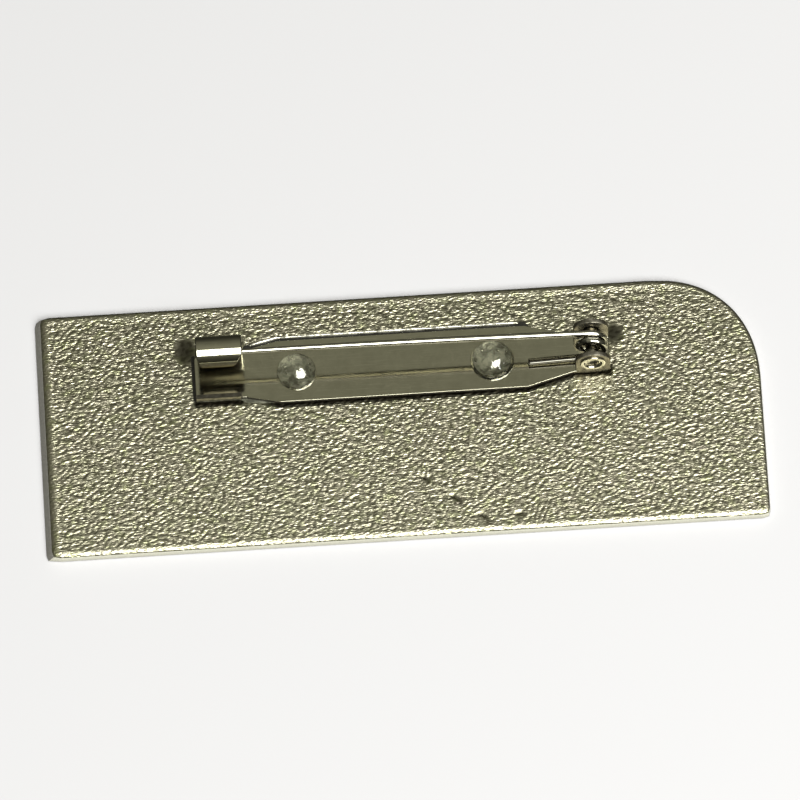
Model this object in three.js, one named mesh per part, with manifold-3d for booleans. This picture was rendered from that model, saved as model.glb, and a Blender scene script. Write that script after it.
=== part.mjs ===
// A metal name badge lying on its bare front, with its brooch pin on the grained back.
// Millimetres. +X runs along the badge from the catch to the hinge, +Y towards the edge that
// the pin sits nearest, +Z up. The origin is the middle of the front face, on z = 0.
import * as THREE from 'three';
import { mergeVertices } from 'three/addons/utils/BufferGeometryUtils.js';
import Module from 'manifold-3d';

const wasm = await Module();
wasm.setup();

// The plate
const plateLength = 76.2;
const plateWidth = 28.0;
const plateThickness = 1.2;
const endSlant = 0.74;
const frontEdgeRound = 0.1;
const backEdgeRoll = 0.3;
const smallCornerRadius = 0.4;
const bigCornerAlong = 10.8;
const bigCornerAcross = 11.9;
const bigCornerFullness = 2.3;

// The clear adhesive
const filmThickness = 0.15;
const filmInset = 0.2;
const filmSqueezeOut = 0.75;
const filmPastFoot = 0.28;
const filmPool = 0.45;
const leftDomeRadius = 2.1;
const rightDomeRadius = 2.3;
const domeRise = 1.72;
const domeToePart = 0.12;
const leftDomeShift = -0.19;
const rightDomeShift = -0.3;
const plugClearance = 0.3;

// The pin's folded sheet: bar, catch and hinge lugs
const sheet = 0.5;
const barCentreY = 5.66;
const barHalfWidth = 3.54;
const barLeft = -12.6;
const barRight = 13.55;
const barEdgeRound = 0.15;
const shoulderLeft = 3.5;
const shoulderRight = 4.9;
const holeRadius = 1.8;
const holeFromLeft = 1.9;
const holeFromRight = 3.6;
const footGap = 0.55;
const footWidth = 4.85;
const footNear = 2.93;
const leftNeckStep = 0.1;
const lipRise = 0.6;
const rollRadius = 1.69;
const rollHeight = 3.35;
const rollOffset = 0.32;
const rollEndAngle = 100;
const rollWallBend = 0.9;
const lipTrimLeft = 0.45;
const lipTrimRight = 0.9;
const lipTrimAngle = 42;
const lugHalfSpan = 2.15;
const lugGap = 0.2;
const lugLength = 3.7;
const lugTop = 1.75;
const lugBend = 0.6;

// The hinge rivet and the spring wire
const rivetHeight = 2.0;
const shankRadius = 0.65;
const rivetHeadRadius = 1.35;
const rivetHeadThickness = 0.22;
const rivetDishRadius = 1.02;
const rivetDishFloor = 0.4;
const rivetDishDepth = 0.6;
const shankClearance = 0.25;
const wireRadius = 0.36;
const coilClearance = 0.39;
const coilTurns = 1.5;
const coilPitch = 0.87;
const coilStemSide = 0.56;
const stemBow = 0.22;
const stemInRollSide = 0.33;
const stemInRollRise = 0.45;
const stemTipInset = 0.55;
const needleLength = 4.5;
const needleTipRadius = 0.08;
const tailLength = 6.7;
const tailDrift = 0.19;
const tailDrop = 0.08;

// Levels and places that follow from the sizes above
const filmBottom = plateThickness;
const barBottom = filmBottom + filmThickness;
const barTop = barBottom + sheet;
const neckHalfRight = lugHalfSpan;
const neckLeft = barLeft - shoulderLeft;
const neckRight = barRight + shoulderRight;
const footRight = neckLeft - footGap;
const footLeft = footRight - footWidth;
const rollLeft = footLeft + rollOffset;
const rollRight = footRight + rollOffset;
const footFar = footNear - leftNeckStep;
const neckHalfLeft = footFar - leftNeckStep;
const rollCentreY = footFar - rollRadius;
const lugLeft = neckRight + lugGap;
const lugRight = lugLeft + lugLength;
const rivetX = (lugLeft + lugRight) / 2;
const rivetZ = barTop + rivetHeight;
const coilRadius = shankRadius + coilClearance + wireRadius;
const leftHoleX = barLeft + holeFromLeft;
const rightHoleX = barRight - holeFromRight;

// Shared helpers

/** A closed three.js geometry as a solid that can be joined and cut. */
function solidFrom(geometry) {
  const bare = geometry.index ? geometry.toNonIndexed() : geometry.clone();
  bare.deleteAttribute('normal');
  bare.deleteAttribute('uv');
  const merged = mergeVertices(bare, 1e-5);
  return new wasm.Manifold(new wasm.Mesh({
    numProp: 3,
    vertProperties: new Float32Array(merged.attributes.position.array),
    triVerts: new Uint32Array(merged.index.array),
  }));
}

/** The solid's faces as a three.js geometry. */
function geometryFrom(solid) {
  const result = solid.getMesh();
  const geometry = new THREE.BufferGeometry();
  geometry.setAttribute('position', new THREE.BufferAttribute(result.vertProperties, 3));
  geometry.setIndex(new THREE.BufferAttribute(result.triVerts, 1));
  geometry.computeVertexNormals();
  return geometry;
}

/** A stack of outlines with equal point counts, each at its own height, closed at both ends. */
function stackOutlines(levels) {
  const count = levels[0].outline.length;
  const positions = levels.flatMap(({ outline, z }) => outline.flatMap((p) => [p.x, p.y, z]));
  const index = [];
  for (let level = 0; level + 1 < levels.length; level += 1) {
    for (let i = 0; i < count; i += 1) {
      const a = level * count + i;
      const b = level * count + ((i + 1) % count);
      index.push(a, b, b + count, a, b + count, a + count);
    }
  }
  const last = (levels.length - 1) * count;
  for (const [a, b, c] of THREE.ShapeUtils.triangulateShape(levels[0].outline, [])) {
    index.push(a, c, b);
  }
  for (const [a, b, c] of THREE.ShapeUtils.triangulateShape(levels.at(-1).outline, [])) {
    index.push(last + a, last + b, last + c);
  }
  const geometry = new THREE.BufferGeometry();
  geometry.setAttribute('position', new THREE.Float32BufferAttribute(positions, 3));
  geometry.setIndex(index);
  return geometry;
}

/** Moves each side of an anticlockwise outline inwards by the given distance. */
function insetOutline(outline, distance) {
  const count = outline.length;
  return outline.map((point, i) => {
    const before = point.clone().sub(outline[(i + count - 1) % count]).normalize();
    const after = outline[(i + 1) % count].clone().sub(point).normalize();
    const normalBefore = new THREE.Vector2(-before.y, before.x);
    const normalAfter = new THREE.Vector2(-after.y, after.x);
    const bisector = normalBefore.add(normalAfter);
    return point.clone().addScaledVector(bisector, (2 * distance) / bisector.lengthSq());
  });
}

/** Points of an arc round a centre, angles in degrees. */
function arc(centreX, centreY, radius, from, to, steps) {
  return Array.from({ length: steps + 1 }, (_, i) => {
    const angle = THREE.MathUtils.degToRad(from + ((to - from) * i) / steps);
    return new THREE.Vector2(centreX + radius * Math.cos(angle), centreY + radius * Math.sin(angle));
  });
}

/** An outline drawn in Y and Z, run along X from one place to another. */
function runAlongX(points, fromX, toX) {
  const geometry = new THREE.ExtrudeGeometry(new THREE.Shape(points), {
    depth: toX - fromX,
    bevelEnabled: false,
  });
  geometry.applyMatrix4(new THREE.Matrix4().makeBasis(
    new THREE.Vector3(0, 1, 0),
    new THREE.Vector3(0, 0, 1),
    new THREE.Vector3(1, 0, 0),
  ));
  geometry.translate(fromX, 0, 0);
  return solidFrom(geometry);
}

/** An outline drawn in X and Z, run along Y from one place to another. */
function runAlongY(points, fromY, toY) {
  const geometry = new THREE.ExtrudeGeometry(new THREE.Shape(points), {
    depth: toY - fromY,
    bevelEnabled: false,
  });
  geometry.applyMatrix4(new THREE.Matrix4().makeBasis(
    new THREE.Vector3(1, 0, 0),
    new THREE.Vector3(0, 0, 1),
    new THREE.Vector3(0, -1, 0),
  ));
  geometry.translate(0, toY, 0);
  return solidFrom(geometry);
}

/** A named mesh with its material. */
function namedMesh(name, geometry, material) {
  const mesh = new THREE.Mesh(geometry, material);
  mesh.name = name;
  return mesh;
}

// The plate

/** The plate's outline: three small corners and the big one at the right of the far side. */
function plateOutline(inset, slant) {
  const left = -plateLength / 2 + inset + slant;
  const right = plateLength / 2 - inset;
  const near = -plateWidth / 2 + inset;
  const far = plateWidth / 2 - inset;
  const small = smallCornerRadius;
  const bigSteps = 24;
  const big = Array.from({ length: bigSteps + 1 }, (_, i) => {
    const angle = (Math.PI / 2) * (i / bigSteps);
    const power = 2 / bigCornerFullness;
    return new THREE.Vector2(
      right - bigCornerAlong + bigCornerAlong * Math.cos(angle) ** power,
      far - bigCornerAcross + bigCornerAcross * Math.sin(angle) ** power,
    );
  });
  return [
    ...arc(left + small, near + small, small, 180, 270, 4),
    ...arc(right - small, near + small, small, 270, 360, 4),
    ...big,
    ...arc(left + small, far - small, small, 90, 180, 4),
  ];
}

/** The plate, with its slanted left end and the back's edges rolled over. */
function buildPlate() {
  const slantAt = (z) => (endSlant * (z - frontEdgeRound)) / (plateThickness - frontEdgeRound);
  const levels = [
    { z: 0, outline: plateOutline(frontEdgeRound, 0) },
    { z: frontEdgeRound, outline: plateOutline(0, 0) },
  ];
  const rollSteps = 3;
  for (let i = 0; i <= rollSteps; i += 1) {
    const angle = (Math.PI / 2) * (i / rollSteps);
    const z = plateThickness - backEdgeRoll * (1 - Math.sin(angle));
    levels.push({ z, outline: plateOutline(backEdgeRoll * (1 - Math.cos(angle)), slantAt(z)) });
  }
  return stackOutlines(levels);
}

// The adhesive

/** The film between plate and pin, squeezed out along the pin's far side and round the catch. */
function buildFilm() {
  const shape = [
    [footLeft - filmPastFoot, -footNear + filmInset],
    [footRight - filmInset, -footNear + filmInset],
    [footRight + footGap, -neckHalfLeft - filmPool],
    [barLeft - shoulderLeft / 2, -(neckHalfLeft + barHalfWidth) / 2 - filmInset],
    [barLeft, -barHalfWidth + filmInset],
    [barRight, -barHalfWidth + filmInset],
    [neckRight, -neckHalfRight + filmInset],
    [lugRight - filmInset, -neckHalfRight + filmInset],
    [lugRight - filmInset, neckHalfRight - filmInset],
    [neckRight, neckHalfRight - filmInset],
    [barRight, barHalfWidth + filmSqueezeOut],
    [barLeft, barHalfWidth + filmSqueezeOut],
    [neckLeft, neckHalfLeft + filmSqueezeOut],
    [footRight, footFar - filmInset],
    [footLeft - filmPastFoot, footFar - filmInset],
  ].map(([x, y]) => new THREE.Vector2(x, barCentreY + y));
  return stackOutlines([
    { z: filmBottom, outline: shape },
    { z: barBottom, outline: shape },
  ]);
}

/** Adhesive that rose through a hole of the bar and set as a dome over the hole's rim. */
function buildDome(holeX, radius, shift) {
  const plugRadius = holeRadius - plugClearance;
  const toe = domeRise * domeToePart;
  const rise = domeRise - toe;
  const ballRadius = (radius * radius + rise * rise) / (2 * rise);
  const capSteps = 6;
  const openAngle = Math.asin(radius / ballRadius);
  const cap = Array.from({ length: capSteps + 1 }, (_, i) => {
    const angle = openAngle * (1 - i / capSteps);
    const height = barTop + toe + ballRadius * Math.cos(angle) - (ballRadius - rise);
    return new THREE.Vector2(Math.max(0, ballRadius * Math.sin(angle)), height);
  });
  const cover = new THREE.LatheGeometry([
    new THREE.Vector2(0, barTop),
    new THREE.Vector2(radius, barTop),
    ...cap,
  ], 24);
  const plug = new THREE.CylinderGeometry(plugRadius, plugRadius, sheet + toe, 24);
  plug.translate(0, barBottom + (sheet + toe) / 2, 0);
  cover.rotateX(Math.PI / 2);
  cover.translate(0, shift, 0);
  plug.rotateX(Math.PI / 2);
  const dome = solidFrom(cover).add(solidFrom(plug)).translate([holeX, barCentreY, 0]);
  return geometryFrom(dome);
}

// The pin's sheet

/** The flat bar with its two necks, its upper edges rounded, and the two holes. */
function buildBar() {
  const outline = [
    [footLeft + sheet, -neckHalfLeft],
    [neckLeft, -neckHalfLeft],
    [barLeft, -barHalfWidth],
    [barRight, -barHalfWidth],
    [neckRight, -neckHalfRight],
    [lugRight - sheet, -neckHalfRight],
    [lugRight - sheet, neckHalfRight],
    [neckRight, neckHalfRight],
    [barRight, barHalfWidth],
    [barLeft, barHalfWidth],
    [neckLeft, neckHalfLeft],
    [footLeft + sheet, neckHalfLeft],
  ].map(([x, y]) => new THREE.Vector2(x, y));
  const levels = [{ z: barBottom, outline }];
  const roundSteps = 2;
  for (let i = 0; i <= roundSteps; i += 1) {
    const angle = (Math.PI / 2) * (i / roundSteps);
    levels.push({
      z: i === roundSteps ? barTop : barTop - barEdgeRound * (1 - Math.sin(angle)),
      outline: insetOutline(outline, barEdgeRound * (1 - Math.cos(angle))),
    });
  }
  let bar = solidFrom(stackOutlines(levels));
  for (const holeX of [leftHoleX, rightHoleX]) {
    const hole = new THREE.CylinderGeometry(holeRadius, holeRadius, 3 * sheet, 24);
    hole.rotateX(Math.PI / 2);
    hole.translate(holeX, 0, barTop);
    bar = bar.subtract(solidFrom(hole));
  }
  return bar;
}

/** The catch: foot with its turned-up lip, far wall, and the roll that takes the pin's point. */
function buildCatch() {
  const foot = [
    new THREE.Vector2(-footNear, barBottom),
    new THREE.Vector2(footFar - rollWallBend, barBottom),
    new THREE.Vector2(footFar - rollWallBend, barTop),
    new THREE.Vector2(-footNear + sheet, barTop),
    new THREE.Vector2(-footNear + sheet, barTop + lipRise),
    new THREE.Vector2(-footNear, barTop + lipRise),
  ];
  const rollZ = barTop + rollHeight;
  const innerBend = rollWallBend - sheet;
  const outside = [
    ...arc(footFar - rollWallBend, barBottom + rollWallBend, rollWallBend, 270, 360, 4),
    ...arc(rollCentreY, rollZ, rollRadius, 0, 90 + rollEndAngle, 16),
  ];
  const inside = [
    ...arc(rollCentreY, rollZ, rollRadius - sheet, 90 + rollEndAngle, 0, 14),
    ...arc(footFar - rollWallBend, barTop + innerBend, innerBend, 360, 270, 4),
  ];
  const start = [
    new THREE.Vector2(-footNear + sheet, barTop),
    new THREE.Vector2(-footNear + sheet, barBottom),
  ];
  const wallAndRoll = runAlongX([...start, ...outside, ...inside], rollLeft, rollRight);
  const trimTop = rollZ + rollRadius * Math.cos(THREE.MathUtils.degToRad(lipTrimAngle));
  const trimBottom = rollZ - rollRadius;
  const trim = (edge, inwards) => runAlongY(
    [
      new THREE.Vector2(edge, trimTop),
      new THREE.Vector2(edge + inwards, trimBottom),
      new THREE.Vector2(edge - inwards, trimBottom),
      new THREE.Vector2(edge - inwards, trimTop),
    ],
    rollCentreY - 2 * rollRadius,
    rollCentreY,
  );
  return runAlongX(foot, footLeft, footRight)
    .add(wallAndRoll)
    .subtract(trim(rollLeft, lipTrimLeft))
    .subtract(trim(rollRight, -lipTrimRight));
}

/** The two lugs, folded up from the right neck, with the holes for the rivet. */
function buildLugs() {
  const lugRadius = lugLength / 2;
  const top = rivetZ + lugTop;
  const innerBend = lugBend - sheet;
  const channel = [
    ...arc(-lugHalfSpan + lugBend, barBottom + lugBend, lugBend, 180, 270, 4),
    ...arc(lugHalfSpan - lugBend, barBottom + lugBend, lugBend, 270, 360, 4),
    new THREE.Vector2(lugHalfSpan, top),
    new THREE.Vector2(lugHalfSpan - sheet, top),
    ...arc(lugHalfSpan - lugBend, barTop + innerBend, innerBend, 360, 270, 2),
    ...arc(-lugHalfSpan + lugBend, barTop + innerBend, innerBend, 270, 180, 2),
    new THREE.Vector2(-lugHalfSpan + sheet, top),
    new THREE.Vector2(-lugHalfSpan, top),
  ];
  const roundTop = arc(0, 0, 1, 0, 180, 16).map((p) => (
    new THREE.Vector2(rivetX + lugRadius * p.x, rivetZ + lugTop * p.y)
  ));
  const side = [
    new THREE.Vector2(lugLeft, barBottom),
    new THREE.Vector2(lugRight, barBottom),
    ...roundTop,
  ];
  const holeRim = arc(rivetX, rivetZ, shankRadius + shankClearance, 0, 360, 20).slice(0, -1);
  return runAlongX(channel, lugLeft, lugRight)
    .intersect(runAlongY(side, -2 * lugHalfSpan, 2 * lugHalfSpan))
    .subtract(runAlongY(holeRim, -2 * lugHalfSpan, 2 * lugHalfSpan));
}

/** Bar, catch and lugs are one folded sheet. */
function buildPinBar() {
  return geometryFrom(buildBar().add(buildCatch()).add(buildLugs()).translate([0, barCentreY, 0]));
}

// The hinge

/** The rivet, with both ends flared over the lugs and dished. */
function buildRivet() {
  const seat = lugHalfSpan;
  const end = lugHalfSpan + rivetHeadThickness;
  const dishFloor = end - rivetDishDepth;
  const profile = [
    [0, -dishFloor],
    [rivetDishFloor, -dishFloor],
    [rivetDishRadius, -end],
    [rivetHeadRadius - rivetHeadThickness / 2, -end],
    [rivetHeadRadius, -end + rivetHeadThickness / 2],
    [rivetHeadRadius, -seat],
    [shankRadius, -seat],
    [shankRadius, seat],
    [rivetHeadRadius, seat],
    [rivetHeadRadius, end - rivetHeadThickness / 2],
    [rivetHeadRadius - rivetHeadThickness / 2, end],
    [rivetDishRadius, end],
    [rivetDishFloor, dishFloor],
    [0, dishFloor],
  ].map(([radius, along]) => new THREE.Vector2(radius, along));
  const rivet = new THREE.LatheGeometry(profile, 16);
  rivet.translate(rivetX, barCentreY, rivetZ);
  return geometryFrom(solidFrom(rivet));
}

/** The spring wire's middle line from the needle past the coil to the tail's blunt end. */
function wirePath() {
  const hinge = new THREE.Vector3(rivetX, barCentreY + coilStemSide, rivetZ + coilRadius);
  const tip = new THREE.Vector3(
    rollLeft + stemTipInset + needleLength,
    barCentreY + rollCentreY - stemInRollSide,
    barTop + rollHeight + stemInRollRise,
  );
  const points = [];
  const stemParts = 8;
  for (let i = 0; i < stemParts; i += 1) {
    const share = i / stemParts;
    const point = tip.clone().lerp(hinge, share);
    point.z += stemBow * 4 * share * (1 - share);
    points.push(point);
  }
  const pointsPerTurn = 16;
  const coilParts = coilTurns * pointsPerTurn;
  for (let i = 0; i <= coilParts; i += 1) {
    const turn = i / pointsPerTurn;
    const angle = 2 * Math.PI * turn;
    points.push(new THREE.Vector3(
      rivetX + coilRadius * Math.sin(angle),
      barCentreY + coilStemSide - coilPitch * turn,
      rivetZ + coilRadius * Math.cos(angle),
    ));
  }
  const tailStart = points.at(-1);
  for (const share of [0.3, 0.65, 1]) {
    points.push(new THREE.Vector3(
      tailStart.x - tailLength * share,
      tailStart.y - tailDrift * share,
      tailStart.z - tailDrop * share,
    ));
  }
  return new THREE.CatmullRomCurve3(points, false, 'centripetal');
}

/** The stem: needle, straight run, coil round the rivet, and the tail that lies by the bar. */
function buildStem() {
  const path = wirePath();
  const section = new THREE.Shape(arc(0, 0, wireRadius, 0, 360, 8).slice(0, -1));
  const wire = new THREE.ExtrudeGeometry(section, {
    steps: 100,
    extrudePath: path,
    bevelEnabled: false,
  });
  const needle = new THREE.CylinderGeometry(wireRadius, needleTipRadius, needleLength, 8);
  const start = path.getPointAt(0);
  const away = path.getTangentAt(0).negate();
  needle.translate(0, -needleLength / 2, 0);
  needle.applyQuaternion(new THREE.Quaternion().setFromUnitVectors(
    new THREE.Vector3(0, -1, 0),
    away,
  ));
  needle.translate(start.x, start.y, start.z);
  return geometryFrom(solidFrom(wire).add(solidFrom(needle)));
}

// Materials

const backMetal = new THREE.MeshStandardMaterial({
  name: 'back_metal', color: 0x8c8768, roughness: 0.36, metalness: 0.9,
});
const pinMetal = new THREE.MeshStandardMaterial({
  name: 'pin_metal', color: 0xa5a294, roughness: 0.24, metalness: 1.0,
});
const wireMetal = new THREE.MeshStandardMaterial({
  name: 'wire_metal', color: 0xcfcdc2, roughness: 0.12, metalness: 1.0,
});
const rivetMetal = new THREE.MeshStandardMaterial({
  name: 'rivet_metal', color: 0xb9b59f, roughness: 0.22, metalness: 1.0,
});
const clearAdhesive = new THREE.MeshStandardMaterial({
  name: 'clear_adhesive', color: 0xdedbc9, roughness: 0.06, metalness: 0.0,
});

// The badge

const badge = new THREE.Group();
badge.add(namedMesh('badge_plate', buildPlate(), backMetal));
badge.add(namedMesh('adhesive_film', buildFilm(), clearAdhesive));
badge.add(namedMesh('pin_bar', buildPinBar(), pinMetal));
badge.add(namedMesh(
  'adhesive_dome_left',
  buildDome(leftHoleX, leftDomeRadius, leftDomeShift),
  clearAdhesive,
));
badge.add(namedMesh(
  'adhesive_dome_right',
  buildDome(rightHoleX, rightDomeRadius, rightDomeShift),
  clearAdhesive,
));
badge.add(namedMesh('hinge_rivet', buildRivet(), rivetMetal));
badge.add(namedMesh('pin_stem', buildStem(), wireMetal));

export default badge;
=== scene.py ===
import math

import bmesh
import bpy
import numpy as np
from mathutils import Matrix, Vector


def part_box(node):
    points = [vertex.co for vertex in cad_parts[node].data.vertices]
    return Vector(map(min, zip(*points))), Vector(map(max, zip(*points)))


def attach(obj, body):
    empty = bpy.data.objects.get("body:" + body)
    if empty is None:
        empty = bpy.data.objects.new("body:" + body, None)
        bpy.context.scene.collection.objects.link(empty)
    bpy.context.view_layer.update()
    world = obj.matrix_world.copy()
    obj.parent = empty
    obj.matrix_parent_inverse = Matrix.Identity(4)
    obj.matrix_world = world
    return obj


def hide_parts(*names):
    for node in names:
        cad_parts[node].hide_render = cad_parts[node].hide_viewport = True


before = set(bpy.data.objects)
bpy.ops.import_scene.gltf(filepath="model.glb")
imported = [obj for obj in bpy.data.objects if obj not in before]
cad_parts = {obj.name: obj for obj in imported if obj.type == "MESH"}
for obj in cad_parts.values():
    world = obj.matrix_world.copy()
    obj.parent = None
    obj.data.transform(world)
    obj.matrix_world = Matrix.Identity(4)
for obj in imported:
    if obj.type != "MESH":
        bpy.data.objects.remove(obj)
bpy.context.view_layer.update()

MM = 0.001
WELD = 0.002 * MM


# Places and sizes that come from the frame

def box_of(node):
    return [Vector(corner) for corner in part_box(node)]


PLATE_LOW, PLATE_HIGH = box_of("badge_plate")
FILM_LOW, FILM_HIGH = box_of("adhesive_film")
PIN_LOW, PIN_HIGH = box_of("pin_bar")
RIVET_LOW, RIVET_HIGH = box_of("hinge_rivet")
LEFT_DOME = box_of("adhesive_dome_left")
RIGHT_DOME = box_of("adhesive_dome_right")

# The plate's finish
END_SLANT = 0.74 * MM
EDGE_REACH = 0.62 * MM
EDGE_DROP = 0.38 * MM
FRONT_ROUND = 0.1 * MM
CORNER_ALONG = 10.8 * MM
CORNER_ACROSS = 11.9 * MM
CORNER_FULLNESS = 2.3
GRAIN_CELL = 0.158 * MM
GRAIN_DEPTH = 0.04 * MM
# The grain fades in over a wider margin along the far edge, where this share of the distance counts
FAR_MARGIN_SHARE = 0.4

# The pin's folded sheet
SHEET = 0.5 * MM
BAR_Y = 5.66 * MM
BAR_BOTTOM = FILM_HIGH.z
BAR_TOP = BAR_BOTTOM + SHEET
BAR_HALF = (PIN_HIGH.y - PIN_LOW.y) / 2
BAR_LEFT = -12.6 * MM
BAR_RIGHT = 13.55 * MM
SHOULDER_LEFT = 3.5 * MM
SHOULDER_RIGHT = 4.9 * MM
HOLE_RADIUS = 1.8 * MM
FOOT_WIDTH = 4.85 * MM
FOOT_NEAR = 2.93 * MM
FOOT_FAR = 2.83 * MM
FOOT_GAP = 0.55 * MM
NECK_LEFT_HALF = 2.73 * MM
LIP_RISE = 0.6 * MM
ROLL_RADIUS = 1.69 * MM
ROLL_HEIGHT = 3.35 * MM
ROLL_OFFSET = 0.32 * MM
ROLL_END = math.radians(190)
WALL_BEND = 0.9 * MM
TRIM_LEFT = 0.45 * MM
TRIM_RIGHT = 0.9 * MM
LUG_HALF_SPAN = 2.15 * MM
LUG_BEND = 0.6 * MM
LUG_LENGTH = 3.7 * MM
LUG_TOP = 1.75 * MM

NECK_LEFT = BAR_LEFT - SHOULDER_LEFT
NECK_RIGHT = BAR_RIGHT + SHOULDER_RIGHT
FOOT_RIGHT = NECK_LEFT - FOOT_GAP
FOOT_LEFT = FOOT_RIGHT - FOOT_WIDTH
LUG_RIGHT = PIN_HIGH.x
LUG_LEFT = LUG_RIGHT - LUG_LENGTH
ROLL_Y = BAR_Y + FOOT_FAR - ROLL_RADIUS
ROLL_Z = BAR_TOP + ROLL_HEIGHT

# The hinge and the wire
RIVET = (RIVET_LOW + RIVET_HIGH) / 2
SHANK_RADIUS = 0.65 * MM
LUG_HOLE_RADIUS = 0.9 * MM
HEAD_RADIUS = (RIVET_HIGH.x - RIVET_LOW.x) / 2
HEAD_THICKNESS = 0.22 * MM
DISH_RADIUS = 1.02 * MM
DISH_FLOOR = 0.4 * MM
DISH_DEPTH = 0.6 * MM
WIRE_RADIUS = 0.34 * MM
WIRE_END_RADIUS = 0.26 * MM
NEEDLE_LENGTH = 4.5 * MM
COIL_RADIUS = 1.4 * MM
COIL_TURNS = 1.5
COIL_PITCH = 0.87 * MM
COIL_SIDE = 0.56 * MM
STEM_BOW = 0.22 * MM
STEM_IN_ROLL_SIDE = 0.33 * MM
STEM_IN_ROLL_RISE = 0.45 * MM
STEM_TIP_INSET = 0.55 * MM
TAIL_LENGTH = 6.7 * MM
TAIL_DRIFT = 0.19 * MM
TAIL_DROP = 0.08 * MM
TAIL_STEPS = 24

# The camera, from the photograph of 800 pixels a side
VIEW_ELEVATION = math.radians(65)
VIEW_ROLL = math.radians(3.57)
VIEW_DISTANCE = 1.7
PHOTO_SIDE = 800
PIXELS_PER_MM = 9.487
BADGE_RIGHT_OF_CENTRE = 1.3
BADGE_BELOW_CENTRE = 17.5


# Small helpers

def put_in_scene(name, data):
    obj = bpy.data.objects.new(name, data)
    bpy.context.scene.collection.objects.link(obj)
    return obj


def stand(name, data, right, up, back, place):
    """Puts a camera or a lamp in its place. It looks away from the back direction."""
    obj = put_in_scene(name, data)
    matrix = Matrix((right, up, back)).transposed().to_4x4()
    matrix.translation = place
    obj.matrix_world = matrix
    return obj


def new_object(name, verts, faces):
    mesh = bpy.data.meshes.new(name)
    mesh.from_pydata([tuple(v) for v in verts], [], faces)
    mesh.validate()
    mesh.update()
    return put_in_scene(name, mesh)


def apply_modifiers(obj):
    graph = bpy.context.evaluated_depsgraph_get()
    mesh = bpy.data.meshes.new_from_object(obj.evaluated_get(graph), depsgraph=graph)
    old = obj.data
    obj.modifiers.clear()
    obj.data = mesh
    if old.users == 0:
        bpy.data.meshes.remove(old)


def finish(obj, angle, *materials, weighted=True):
    """Smooth shading that keeps edges sharper than the angle, and the object's materials."""
    mesh = obj.data
    mesh.polygons.foreach_set("use_smooth", [True] * len(mesh.polygons))
    mesh.set_sharp_from_angle(angle=math.radians(angle))
    if weighted:
        obj.modifiers.new("weighted", "WEIGHTED_NORMAL").keep_sharp = True
        apply_modifiers(obj)
    obj.data.materials.clear()
    for material in materials:
        obj.data.materials.append(material)


def combine(target, others, operation):
    """Joins or cuts solids, and removes the others."""
    for other in others:
        step = target.modifiers.new("combine", "BOOLEAN")
        step.operation = operation
        step.solver = "EXACT"
        step.object = other
        apply_modifiers(target)
    for other in others:
        bpy.data.objects.remove(other)
    return target


def loft(name, rings):
    """A closed skin over rings of equal point counts."""
    count = len(rings[0])
    last = (len(rings) - 1) * count
    faces = ring_faces(0, len(rings), count)
    faces.append(tuple(range(count - 1, -1, -1)))
    faces.append(tuple(range(last, last + count)))
    return skin(name, [p for ring in rings for p in ring], faces)


def ring_faces(first, rings, count):
    """The faces between rings of equal point counts, from the given first point on."""
    faces = []
    for r in range(rings - 1):
        for i in range(count):
            a = first + r * count + i
            b = first + r * count + (i + 1) % count
            faces.append((a, b, b + count, a + count))
    return faces


def skin(name, verts, faces):
    obj = new_object(name, verts, faces)
    turn_faces_out(obj)
    return obj


def turn_faces_out(obj, merge_within=0.0):
    """Turns the faces outwards, and joins points that lie closer together than the distance."""
    work = bmesh.new()
    work.from_mesh(obj.data)
    if merge_within:
        bmesh.ops.remove_doubles(work, verts=work.verts, dist=merge_within)
    bmesh.ops.recalc_face_normals(work, faces=work.faces)
    work.to_mesh(obj.data)
    work.free()


def turned(name, profile, steps, centre, axis):
    """A solid of revolution from (radius, along) points that start and end on the axis."""
    side = Vector((1, 0, 0)) if abs(axis[0]) < 0.5 else Vector((0, 1, 0))
    axis = Vector(axis)
    other = axis.cross(side)
    verts = [centre + axis * profile[0][1]]
    for radius, along in profile[1:-1]:
        for i in range(steps):
            angle = 2 * math.pi * i / steps
            spoke = side * math.cos(angle) + other * math.sin(angle)
            verts.append(centre + axis * along + spoke * radius)
    verts.append(centre + axis * profile[-1][1])
    last = len(verts) - 1
    faces = [(0, 1 + (i + 1) % steps, 1 + i) for i in range(steps)]
    faces += ring_faces(1, len(profile) - 2, steps)
    start = last - steps
    faces += [(start + i, start + (i + 1) % steps, last) for i in range(steps)]
    return skin(name, verts, faces)


def arc(centre_x, centre_y, radius, start, end, steps):
    angles = [start + (end - start) * i / steps for i in range(steps + 1)]
    return [(centre_x + radius * math.cos(a), centre_y + radius * math.sin(a)) for a in angles]


def heading(points, i):
    """The direction of a path at one of its points, from the two beside it."""
    behind = points[max(i - 1, 0)]
    ahead = points[min(i + 1, len(points) - 1)]
    return (Vector(ahead) - Vector(behind)).normalized()


# The plate and its grain

def turned_axes(x, y, angle):
    """The distances along and across a direction."""
    along = x * math.cos(angle) + y * math.sin(angle)
    across = -x * math.sin(angle) + y * math.cos(angle)
    return along, across


def band_noise(rng, shape, period, spread, angle, stretch):
    """Smooth random heights of one scale, longer along the given angle, about 1 high."""
    rows, columns = shape
    wave_x = np.fft.fftfreq(columns, GRAIN_CELL)[None, :]
    wave_y = np.fft.fftfreq(rows, GRAIN_CELL)[:, None]
    along, across = turned_axes(wave_x, wave_y, angle)
    size = np.sqrt((along * stretch) ** 2 + across ** 2)
    centre = 1.0 / period
    keep = np.exp(-(((size - centre) / (centre * spread)) ** 2))
    spectrum = np.fft.fft2(rng.standard_normal(shape)) * keep
    heights = np.real(np.fft.ifft2(spectrum))
    return heights / heights.std()


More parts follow.
